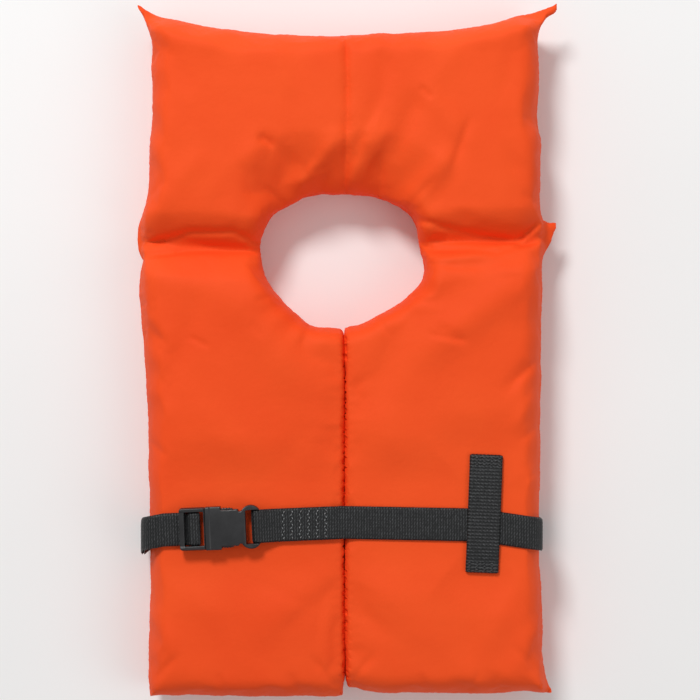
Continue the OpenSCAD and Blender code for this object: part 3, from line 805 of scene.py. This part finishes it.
def keeper_point(u, v, w):
    """A place on the keeper: u across it, v along it, w up from the cover."""
    c, s = math.cos(KEEPER_TILT), math.sin(KEEPER_TILT)
    return (KEEPER_X + u * c - v * s, KEEPER_Y + u * s + v * c, KEEPER_BASE + w)


def keeper_route():
    e = KEEPER_LEN / 2
    lift = WEB_T + 0.7 + WEB_T / 2
    fold = [(-e + 9, 0.8), (-e + 1.2, 0.8), (-e + 0.3, 1.6), (-e + 1.2, 2.5), (-e + 9, 2.5),
            (-e + 18, lift)]
    return [keeper_point(0, v, w) for v, w in fold] + [keeper_point(0, -v, w) for v, w in fold[::-1]]


def across_keeper(line):
    side = (math.cos(KEEPER_TILT), math.sin(KEEPER_TILT), 0)
    return np.repeat([side], len(line), axis=0)


def make_webbing(web):
    pieces = {
        "belt_webbing": (loop_route(), across_belt, "belt"),
        "belt_tail": (tail_route(), across_belt, "belt"),
        "belt_front_run": (front_route(), across_belt, None),
        "keeper_tab": (keeper_route(), across_keeper, "front_panels"),
    }
    for node, (route, sides, body) in pieces.items():
        rib = KEEPER_RIB if node == "keeper_tab" else RIB
        piece = ribbon(node + "_woven", route, sides, rib)
        piece.data.materials.append(web)
        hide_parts(node)
        if body:
            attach(piece, body)
        else:
            slack_over(piece)


def slack_over(piece):
    """Bakes the piece's transform into its mesh; the piece is attached to no body."""
    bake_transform(piece)


# ---------------------------------------------------------------- stitching


def stitch_mesh(name, places, length=2.6, radius=0.33):
    """Short rounded threads, each from a place along its direction."""
    rings, around = 5, 6
    points, faces = [], []
    for centre, direction in places:
        d = Vector(direction).normalized()
        side = d.cross(Vector((0, 0, 1))).normalized()
        base = len(points)
        for i in range(rings):
            t = i / (rings - 1) * 2 - 1
            r = radius * math.sqrt(max(0.05, 1 - t * t))
            arch = 0.22 * (1 - t * t)
            for k in range(around):
                a = 2 * math.pi * k / around
                q = (Vector(centre) + d * (t * length / 2) + side * (r * math.cos(a))
                     + Vector((0, 0, r * math.sin(a) + arch)))
                points.append(tuple(q * MM))
        for i in range(rings - 1):
            for k in range(around):
                a, b = base + i * around + k, base + i * around + (k + 1) % around
                faces.append((a, b, b + around, a + around))
        faces.append(tuple(base + k for k in range(around))[::-1])
        faces.append(tuple(base + (rings - 1) * around + k for k in range(around)))
    mesh = bpy.data.meshes.new(name)
    mesh.from_pydata(points, [], faces)
    for f in mesh.polygons:
        f.use_smooth = True
    mesh.update()
    return link(name, mesh)


STITCH_ROWS = [-46, -39.5, -33, -26.5, -20, -13.5]
STITCHES, STITCH_PITCH = 9, 2.5                  # in each row across the belt
TACK_ROWS = (2.6, 5.2, 7.8)                      # how far in from each end of the keeper
TACKS, TACK_PITCH = 8, 2.9                       # in each row across the keeper


def make_stitching(grey, black):
    top = WEB_Z + LAYER + WEB_T / 2 + 0.1
    places = []
    for i, x in enumerate(STITCH_ROWS):
        for s in range(STITCHES):
            y = belt_y(x) - 10 + s * STITCH_PITCH
            places.append(((x + 0.5 * (-1) ** s, y, top), (0.45 * (-1) ** (s + i), 1, 0)))
    belt = stitch_mesh("belt_box_stitch_thread", places, length=1.7, radius=0.28)
    belt.data.materials.append(grey)
    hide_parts("belt_box_stitch")
    slack_over(belt)
    places = []
    for end in (-1, 1):
        for row in TACK_ROWS:
            for s in range(TACKS):
                v = end * (KEEPER_LEN / 2 - row) + 0.35 * (-1) ** s
                place = keeper_point(-10.2 + s * TACK_PITCH, v, 2.5 + WEB_T / 2 + 0.1)
                places.append((place, (1, 0.25 * (-1) ** s, 0)))
    tacks = stitch_mesh("keeper_tacks_thread", places, length=2.3)
    tacks.data.materials.append(black)
    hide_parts("keeper_tacks")
    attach(tacks, "front_panels")


# ---------------------------------------------------------------- materials


class Graph:
    """A material's nodes, made one at a time."""

    def __init__(self, name):
        self.material = bpy.data.materials.new(name)
        self.material.use_nodes = True
        self.tree = self.material.node_tree
        self.shader = self.tree.nodes["Principled BSDF"]
        self.place = self.tree.nodes.new("ShaderNodeTexCoord").outputs["Object"]

    def node(self, kind, sockets=(), **settings):
        n = self.tree.nodes.new("ShaderNode" + kind)
        for key, value in settings.items():
            setattr(n, key, value)
        for key, value in dict(sockets).items():
            if isinstance(value, bpy.types.NodeSocket):
                self.tree.links.new(value, n.inputs[key])
            else:
                n.inputs[key].default_value = value
        return n

    def noise(self, scale, detail=3, rough=0.5):
        return self.node("TexNoise", {"Vector": self.place, "Scale": scale, "Detail": detail,
                                      "Roughness": rough}).outputs["Fac"]

    def wave(self, pitch, axis):
        """Bands pitch metres apart."""
        return self.node("TexWave", {"Vector": self.place, "Scale": 2 * math.pi / (20 * pitch)},
                         bands_direction=axis).outputs["Fac"]

    def maths(self, operation, a, b=0.5):
        return self.node("Math", {0: a, 1: b}, operation=operation).outputs[0]

    def ramp(self, fac, low, high, start=0.0, stop=1.0):
        """A colour from low to high as fac goes from start to stop."""
        n = self.node("ValToRGB", {"Fac": fac})
        n.color_ramp.elements[0].position, n.color_ramp.elements[1].position = start, stop
        n.color_ramp.elements[0].color, n.color_ramp.elements[1].color = (*low, 1), (*high, 1)
        return n.outputs["Color"]

    def bump(self, height, distance, strength=1.0, under=None):
        sockets = {"Height": height, "Distance": distance, "Strength": strength}
        if under is not None:
            sockets["Normal"] = under
        return self.node("Bump", sockets).outputs["Normal"]

    def set(self, **values):
        for key, value in values.items():
            socket = self.shader.inputs[key.replace("_", " ")]
            if isinstance(value, bpy.types.NodeSocket):
                self.tree.links.new(value, socket)
            else:
                socket.default_value = value


def nylon_material():
    g = Graph("orange_nylon")
    weave = g.maths("MULTIPLY", g.wave(0.0008, "X"), g.wave(0.0008, "Y"))
    cloudy = g.noise(9, 4)
    fine = g.noise(420, 3, 0.7)
    tint = g.ramp(cloudy, (0.88, 0.071, 0.011), (0.93, 0.09, 0.0145), 0.3, 0.7)
    flecks = g.node("Mix", {"Factor": g.maths("MULTIPLY", fine, 0.12), 6: tint,
                            7: (0.96, 0.14, 0.035, 1)}, data_type="RGBA").outputs[2]
    crinkle = g.bump(g.noise(30, 6, 0.62), 0.0022, 0.4)
    cloth = g.bump(g.maths("ADD", weave, g.maths("MULTIPLY", fine, 0.6)), 0.0002, 0.35, crinkle)
    rough = g.node("MapRange", {"Value": fine, "To Min": 0.55, "To Max": 0.7}).outputs[0]
    g.set(Base_Color=flecks, Roughness=rough, Normal=cloth, Sheen_Weight=0.03, Sheen_Roughness=0.4,
          Sheen_Tint=(1.0, 0.4, 0.2, 1), Specular_IOR_Level=0.12)
    return g.material


def webbing_material():
    g = Graph("black_webbing")
    fine = g.noise(1100, 2, 0.6)
    crest = g.node("Attribute", attribute_name="crest").outputs["Fac"]
    # Painted highlight and shade: the rib crests are coloured grey and the grooves near black, with noise
    # breaking the crests into flecks, in place of light catching the yarn tops.
    painted_highlight = g.maths("MULTIPLY", crest, g.noise(620, 2, 0.8))
    tint = g.ramp(painted_highlight, (0.0035, 0.004, 0.0045), (0.085, 0.088, 0.092), 0.28, 0.66)
    normal = g.bump(fine, 0.0004, 0.8)
    rough = g.node("MapRange", {"Value": fine, "To Min": 0.36, "To Max": 0.62}).outputs[0]
    g.set(Base_Color=tint, Roughness=rough, Normal=normal, Sheen_Weight=0.04, Specular_IOR_Level=0.4)
    return g.material


def thread_material(name, low, high):
    g = Graph(name)
    twist = g.wave(0.0006, "DIAGONAL")
    tint = g.ramp(g.noise(700, 2), low, high, 0.3, 0.7)
    g.set(Base_Color=tint, Roughness=0.6, Normal=g.bump(twist, 0.0002, 0.7), Sheen_Weight=0.3)
    return g.material


def plastic_material():
    g = Graph("black_acetal")
    grain = g.noise(1500, 2, 0.6)
    scuff = g.noise(60, 6, 0.7)
    tint = g.ramp(scuff, (0.014, 0.014, 0.015), (0.026, 0.026, 0.028), 0.35, 0.75)
    rough = g.node("MapRange", {"Value": scuff, "To Min": 0.3, "To Max": 0.44}).outputs[0]
    g.set(Base_Color=tint, Roughness=rough, Normal=g.bump(grain, 0.00012, 0.5), Specular_IOR_Level=0.5)
    return g.material


def foam_material():
    g = Graph("closed_cell_foam")
    cells = g.node("TexVoronoi", {"Vector": g.place, "Scale": 700}).outputs["Distance"]
    tint = g.ramp(g.noise(30, 3), (0.78, 0.75, 0.68), (0.87, 0.84, 0.78), 0.3, 0.7)
    g.set(Base_Color=tint, Roughness=0.85, Normal=g.bump(cells, 0.0004, 0.6))
    return g.material


def floor_material():
    g = Graph("pale_floor")
    tint = g.ramp(g.noise(3, 3), (0.90, 0.90, 0.895), (0.93, 0.93, 0.925), 0.3, 0.7)
    g.set(Base_Color=tint, Roughness=0.8)
    return g.material


# ---------------------------------------------------------------- hard parts


def dress(node, material):
    obj = frame["nodes"][node]
    obj.data.materials.clear()
    obj.data.materials.append(material)


FOAM_ROOM = 2.0    # how far the foam stays inside its cover


def draw_in(node):
    obj = frame["nodes"][node]
    obj.modifiers.new("Weld", "WELD").merge_threshold = 1e-5
    inset = obj.modifiers.new("Inset", "DISPLACE")
    inset.mid_level = 0
    inset.strength = -FOAM_ROOM * MM


VOXEL = 0.38       # mesh size of the moulded parts
SOFTEN = 4         # smoothing rounds, which give every edge a moulder's radius


def buckle_frame(co):
    """World places in mm as (u, v, w): along the buckle, across it, and up from the webbing."""
    c, s = math.cos(BUCKLE_TILT), math.sin(BUCKLE_TILT)
    x, y = co[:, 0] - BUCKLE_X, co[:, 1] - belt_y(BUCKLE_X)
    return x * c + y * s, y * c - x * s, co[:, 2] - WEB_DECK


def from_buckle_frame(u, v, w):
    c, s = math.cos(BUCKLE_TILT), math.sin(BUCKLE_TILT)
    return np.column_stack([BUCKLE_X + u * c - v * s, belt_y(BUCKLE_X) + u * s + v * c, w + WEB_DECK])


def crowned(u, v, w):
    """The socket's face swells across its width, steps down from its rim and falls to its lugs."""
    top = ease((w - 8.9) / 1.8)
    under = ease((2.2 - w) / 1.4)
    crown = 1.3 * (1 - np.clip(np.abs(v) / 16.5, 0, 1) ** 2.2)
    rim = 0.45 * inside(u + 10, 1.6, 0.7)
    lugs = -1.3 * ease((u - 17) / 9)
    w = w + top * (crown - 0.55 + rim + lugs) + under * 0.4 * (1 - (v / 16.5) ** 2)
    return u, v, w


def railed(u, v, w):
    """The rails' outer faces round over to their tops, and the end bar thins towards the belt."""
    over = np.clip((w - 5.5) / 4.1, 0, 1) ** 2
    v = np.where(np.abs(v) > 14.6, v - np.sign(v) * 0.9 * over * (np.abs(v) - 14.6) / 1.9, v)
    bar = inside(u + 31.5, 3.6, 0.6) * inside(v, 13, 1)
    w = w - bar * np.clip(w - 6, 0, 4) * 0.22
    return u, v, w


def ribbed(u, v, w):
    """Grip ribs on the part of each arm that a thumb presses."""
    grip = ease((np.abs(v) - 14.3) / 0.7) * inside(u - 5.5, 5, 1.2)
    v = v + np.sign(v) * grip * 0.28 * np.sin(2 * math.pi * u / 2.2)
    return u, v, w


def moulded(node, material, body, shape):
    """A fine copy of a CAD part with moulded edges and a shaped face."""
    bm = bmesh.new()
    bm.from_mesh(frame["nodes"][node].data)
    bmesh.ops.remove_doubles(bm, verts=bm.verts, dist=1e-6)
    mesh = bpy.data.meshes.new(node + "_rough")
    bm.to_mesh(mesh)
    bm.free()
    rough = link(node + "_rough", mesh)
    remesh = rough.modifiers.new("Remesh", "REMESH")
    remesh.mode = "VOXEL"
    remesh.voxel_size = VOXEL * MM
    relax = rough.modifiers.new("Relax", "SMOOTH")
    relax.factor = 0.5
    relax.iterations = SOFTEN
    bpy.context.view_layer.update()
    fine = bpy.data.meshes.new_from_object(rough.evaluated_get(bpy.context.evaluated_depsgraph_get()))
    bpy.data.objects.remove(rough)
    set_coords(fine, from_buckle_frame(*shape(*buckle_frame(coords(fine) / MM))) * MM)
    for f in fine.polygons:
        f.use_smooth = True
    piece = link(node + "_moulded", fine)
    fine.materials.clear()
    fine.materials.append(material)
    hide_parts(node)
    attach(piece, body)


# ---------------------------------------------------------------- the stage

PICTURE_MM = 539.0     # width of the picture at the height of the front cover
CAMERA_UP = 1.9        # the camera's height over the front cover, in metres
CAMERA_X = 5.3         # how far right of the jacket's middle the picture's middle is, in mm
SENSOR_MM = 36
WORLD_LIGHT = 0.42


def make_stage():
    floor = bmesh.new()
    bmesh.ops.create_grid(floor, x_segments=1, y_segments=1, size=6)
    mesh = bpy.data.meshes.new("floor")
    floor.to_mesh(mesh)
    floor.free()
    obj = link("floor", mesh)
    obj.data.materials.append(floor_material())

    data = bpy.data.cameras.new("camera")
    data.sensor_width = SENSOR_MM
    data.lens = SENSOR_MM * CAMERA_UP / (PICTURE_MM * MM)
    camera = bpy.data.objects.new("camera", data)
    camera.location = (CAMERA_X * MM, 0, DECK * MM + CAMERA_UP)
    bpy.context.scene.collection.objects.link(camera)
    bpy.context.scene.camera = camera


def area_light(name, place, target, size, power):
    data = bpy.data.lights.new(name, "AREA")
    data.shape = "DISK"
    data.size = size
    data.energy = power
    obj = bpy.data.objects.new(name, data)
    obj.location = place
    obj.rotation_euler = (Vector(target) - Vector(place)).to_track_quat("-Z", "Y").to_euler()
    bpy.context.scene.collection.objects.link(obj)


def make_light():
    world = bpy.data.worlds.new("studio")
    world.use_nodes = True
    world.node_tree.nodes["Background"].inputs["Color"].default_value = (1, 1, 1, 1)
    world.node_tree.nodes["Background"].inputs["Strength"].default_value = WORLD_LIGHT
    bpy.context.scene.world = world
    area_light("key", (-0.8, 2.0, 2.2), (0, 0.05, 0), 0.8, 60)
    area_light("fill", (1.6, -0.7, 2.0), (0, 0, 0), 1.6, 8)
    bpy.context.scene.view_settings.view_transform = "Standard"


# ---------------------------------------------------------------- build

nylon = nylon_material()
web = webbing_material()
plastic = plastic_material()
foam = foam_material()
make_covers(nylon)
make_webbing(web)
make_stitching(thread_material("grey_thread", (0.16, 0.165, 0.17), (0.42, 0.43, 0.44)),
               thread_material("black_thread", (0.02, 0.02, 0.022), (0.09, 0.09, 0.095)))
for node in frame["nodes"]:
    if "_foam_" in node:
        dress(node, foam)
        draw_in(node)
moulded("buckle_male", plastic, "belt", railed)
moulded("buckle_arm_upper", plastic, "arm_upper", ribbed)
moulded("buckle_arm_lower", plastic, "arm_lower", ribbed)
moulded("buckle_female", plastic, "buckle_socket", crowned)
make_stage()
make_light()
